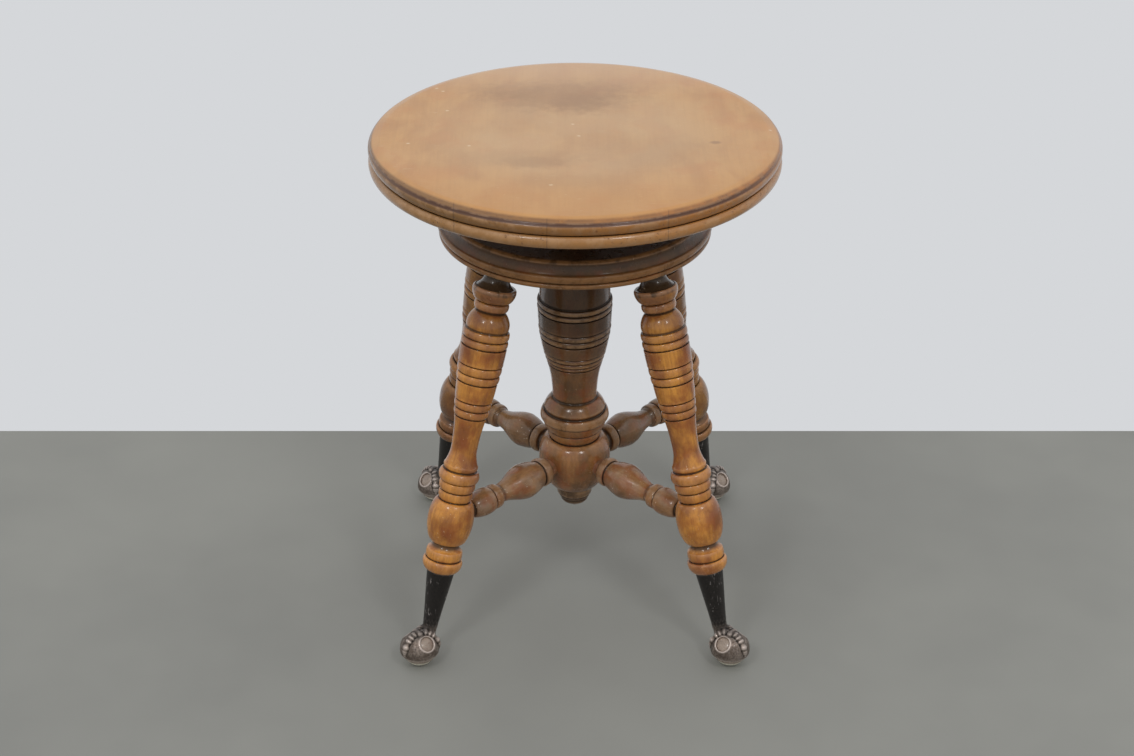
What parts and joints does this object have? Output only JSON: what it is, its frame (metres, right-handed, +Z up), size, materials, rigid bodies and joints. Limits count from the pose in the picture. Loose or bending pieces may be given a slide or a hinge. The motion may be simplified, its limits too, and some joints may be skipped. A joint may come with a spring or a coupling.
{
  "type": "revolving piano stool",
  "caption": "Wooden piano stool: a round beaded seat on a lifting screw, turned splayed legs on claw and glass ball feet, a turned centre column and stretchers.",
  "frame": {"origin": "on the floor, under the lifting screw's axis", "axes": "+Z up along the lifting screw, +X to the right and -Y to the front, the legs on the diagonals"},
  "size_m": [0.3556, 0.3556, 0.4544],
  "materials": {
    "seat_wood": "satin",
    "dark_wood": "satin",
    "leg_wood": "gloss",
    "stretcher_wood": "satin",
    "cast_iron": "matte",
    "claw_iron": "satin",
    "thread_steel": "satin",
    "screw_steel": "satin",
    "washer_leather": "matte",
    "ball_glass": "gloss"
  },
  "bodies": {
    "base": {"thread_nut": "cast_iron", "nut_plate": "cast_iron", "plate_screws": "screw_steel", "platform_disc": "dark_wood", "centre_column": "dark_wood", "column_finial": "dark_wood", "leg_front_left": "leg_wood", "leg_front_right": "leg_wood", "leg_back_left": "leg_wood", "leg_back_right": "leg_wood", "stretcher_front_left": "stretcher_wood", "stretcher_front_right": "stretcher_wood", "stretcher_back_left": "stretcher_wood", "stretcher_back_right": "stretcher_wood", "claw_foot_front_left": "claw_iron", "claw_foot_front_right": "claw_iron", "claw_foot_back_left": "claw_iron", "claw_foot_back_right": "claw_iron", "glass_ball_front_left": "ball_glass", "glass_ball_front_right": "ball_glass", "glass_ball_back_left": "ball_glass", "glass_ball_back_right": "ball_glass", "ferrule_nails": "screw_steel"},
    "turning_washer": {"thrust_washer": "washer_leather"},
    "seat": {"seat_top": "seat_wood", "seat_spider": "cast_iron", "spider_screws": "screw_steel", "lift_screw": "thread_steel"}
  },
  "joints": [
    {"name": "seat_turn", "type": "hinge", "parent": "base", "child": "turning_washer", "pos_m": [0, 0, 0.3958], "axis": [0, 0, 1], "range_deg": [0, 5760]},
    {"name": "seat_lift", "type": "slide", "parent": "turning_washer", "child": "seat", "axis": [0, 0, 1], "range_m": [0, 0.1016]}
  ],
  "couplings": [
    {"joint": "seat_lift", "follows": "seat_turn", "m_per_rad": 0.0010106}
  ]
}
